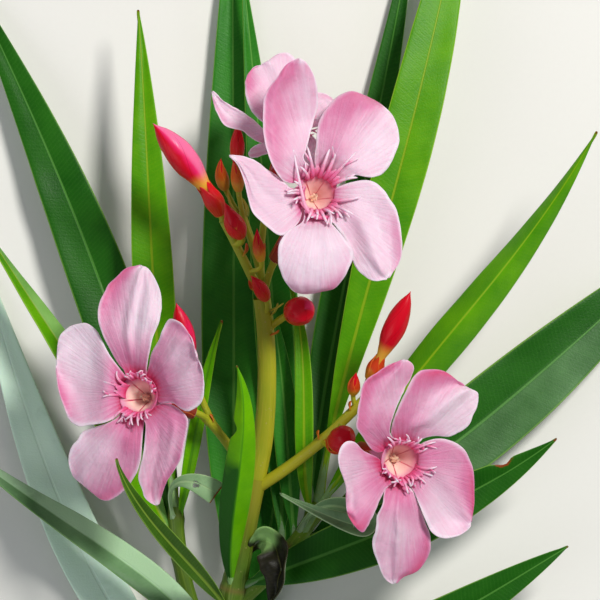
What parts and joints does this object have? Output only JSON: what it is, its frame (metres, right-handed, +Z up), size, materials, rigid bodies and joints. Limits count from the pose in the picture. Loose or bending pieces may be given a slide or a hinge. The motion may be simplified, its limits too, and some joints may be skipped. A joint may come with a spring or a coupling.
{
  "type": "cut flowering oleander branch",
  "caption": "Cut oleander branch with pink blooms, red buds and long narrow leaves, lying on its back with its blooms facing up.",
  "frame": {"origin": "bottom centre of the whole branch, on the surface that it lies on", "axes": "+X to the right as one looks down on the blooms, +Y along the branch from its cut end to its tips, +Z up, the way the blooms face"},
  "size_m": [0.1746, 0.2118, 0.0565],
  "materials": {
    "stem": "satin",
    "stalk": "satin",
    "leaf_bright": "satin",
    "leaf_dark": "satin",
    "leaf_lime": "satin",
    "leaf_pale": "matte",
    "leaf_withered": "matte",
    "bud": "satin",
    "calyx": "satin",
    "petal": "matte"
  },
  "bodies": {
    "root": {"main_stem": "stem", "shoot_right": "stem", "shoot_left": "stem", "stalk_top": "stalk", "stalk_top_left": "stalk", "stalk_top_middle": "stalk", "stalk_right": "stalk", "stalk_left": "stalk", "leaf_tall_right": "leaf_bright", "leaf_folded_right": "leaf_bright", "leaf_wide_right": "leaf_dark", "leaf_inner_bright": "leaf_bright", "leaf_inner_dark": "leaf_dark", "leaf_back_right": "leaf_dark", "leaf_back_upper": "leaf_dark", "leaf_curled": "leaf_pale", "leaf_left_upright": "leaf_bright", "leaf_lime": "leaf_lime", "leaf_stub": "leaf_pale", "leaf_left_big": "leaf_dark", "leaf_left_narrow": "leaf_bright", "leaf_bitten_right": "leaf_dark", "leaf_front_short": "leaf_lime", "leaf_front_thin": "leaf_bright", "leaf_withered": "leaf_withered", "leaf_back_centre": "leaf_dark", "leaf_low_right": "leaf_dark", "leaf_left_long": "leaf_dark", "leaf_back_low": "leaf_dark", "leaf_back_left": "leaf_pale", "leaf_foot_right": "leaf_dark", "leaf_foot_left": "leaf_dark", "bud_big": "bud", "bud_red": "calyx", "bud_pointed": "calyx", "bud_brown_left": "calyx", "bud_brown_right": "calyx", "bud_orange": "calyx", "bud_low": "calyx", "bud_round": "bud", "bud_right": "bud", "bud_right_small": "calyx", "bud_pink": "bud", "bud_left": "bud", "bloom_top": "petal", "bloom_left": "petal", "bloom_right": "petal", "bloom_behind": "petal"}
  },
  "joints": []
}
